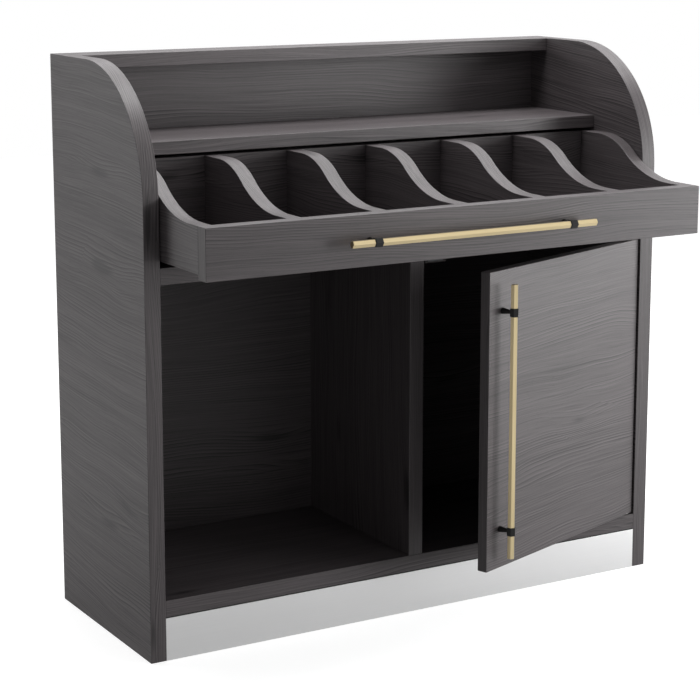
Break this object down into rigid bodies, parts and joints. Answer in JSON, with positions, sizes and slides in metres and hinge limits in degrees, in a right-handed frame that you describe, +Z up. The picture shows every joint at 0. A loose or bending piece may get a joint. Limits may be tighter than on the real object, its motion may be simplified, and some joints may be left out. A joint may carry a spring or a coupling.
{
  "type": "waiter station cabinet",
  "caption": "Low service cabinet with a divided cutlery drawer, an open bay, a hinged door, a shelf niche between round-shouldered sides and a metal plinth.",
  "frame": {"origin": "centre of the carcass footprint on the floor, on the underside of the floor bearer", "axes": "+X to the right seen from the front, the front faces -Y, +Z up"},
  "size_m": [1.1, 0.6082, 1.051],
  "materials": {
    "veneer_side": "dark grey stained veneer, grain along the depth",
    "veneer_long": "dark grey stained veneer, grain along the width",
    "veneer_upright": "dark grey stained veneer, upright grain",
    "veneer_door": "dark grey stained veneer, grain across the door",
    "brushed_steel": "brushed",
    "brass": "satin brushed",
    "black_metal": "satin black",
    "black_screws": "black zinc",
    "zinc": "zinc plated",
    "steel_pin": "ground",
    "nylon": "matt",
    "catch_plastic": "moulded",
    "magnet": "ferrite, matt",
    "beech": "plain beech"
  },
  "bodies": {
    "root": {"side_panel_left": "veneer_side", "side_panel_right": "veneer_side", "bottom_panel": "veneer_long", "partition": "veneer_upright", "drawer_deck": "veneer_long", "back_panel": "veneer_long", "top_shelf": "veneer_long", "top_rail": "veneer_long", "plinth_board": "veneer_long", "plinth_facing": "brushed_steel", "plinth_rear": "veneer_long", "floor_bearer": "veneer_side", "cam_locks": "zinc", "cam_bolts": "zinc", "partition_dowels": "beech", "back_panel_screws": "black_screws", "runner_cabinet_left": "zinc", "runner_cabinet_right": "zinc", "runner_deck_screws": "zinc", "hinge_plates": "black_metal", "hinge_pins": "steel_pin", "hinge_screws": "black_screws", "catch_housing": "catch_plastic", "catch_magnet": "magnet", "catch_screws": "black_screws"},
    "drawer": {"drawer_front": "veneer_long", "drawer_side_left": "veneer_side", "drawer_side_right": "veneer_side", "drawer_back": "veneer_long", "drawer_bottom": "veneer_long", "divider_1": "veneer_side", "divider_2": "veneer_side", "divider_3": "veneer_side", "divider_4": "veneer_side", "divider_5": "veneer_side", "drawer_box_screws": "black_screws", "drawer_handle_bar": "brass", "drawer_handle_posts": "black_metal", "drawer_handle_screws": "black_screws", "runner_drawer_left": "zinc", "runner_drawer_right": "zinc", "runner_drawer_screws": "zinc"},
    "runner_mid_left": {"runner_middle_left": "zinc"},
    "runner_mid_right": {"runner_middle_right": "zinc"},
    "door": {"door_panel": "veneer_door", "door_handle_bar": "brass", "door_handle_posts": "black_metal", "door_handle_screws": "black_screws", "hinge_bushes": "nylon", "catch_strike": "zinc", "strike_screws": "black_screws"}
  },
  "joints": [
    {"name": "drawer_slide", "type": "slide", "parent": "root", "child": "drawer", "axis": [0, -1, 0], "range_m": [-0.1735, 0.1465]},
    {"name": "runner_mid_left_slide", "type": "slide", "parent": "root", "child": "runner_mid_left", "axis": [0, -1, 0], "range_m": [-0.08675, 0.07325]},
    {"name": "runner_mid_right_slide", "type": "slide", "parent": "root", "child": "runner_mid_right", "axis": [0, -1, 0], "range_m": [-0.08675, 0.07325]},
    {"name": "door_swing", "type": "hinge", "parent": "root", "child": "door", "pos_m": [0.505, -0.19, 0.39325], "axis": [0, 0, 1], "range_deg": [-19.7, 85.3]}
  ],
  "couplings": [
    {"joint": "runner_mid_left_slide", "follows": "drawer_slide", "ratio": 0.5},
    {"joint": "runner_mid_right_slide", "follows": "drawer_slide", "ratio": 0.5}
  ]
}
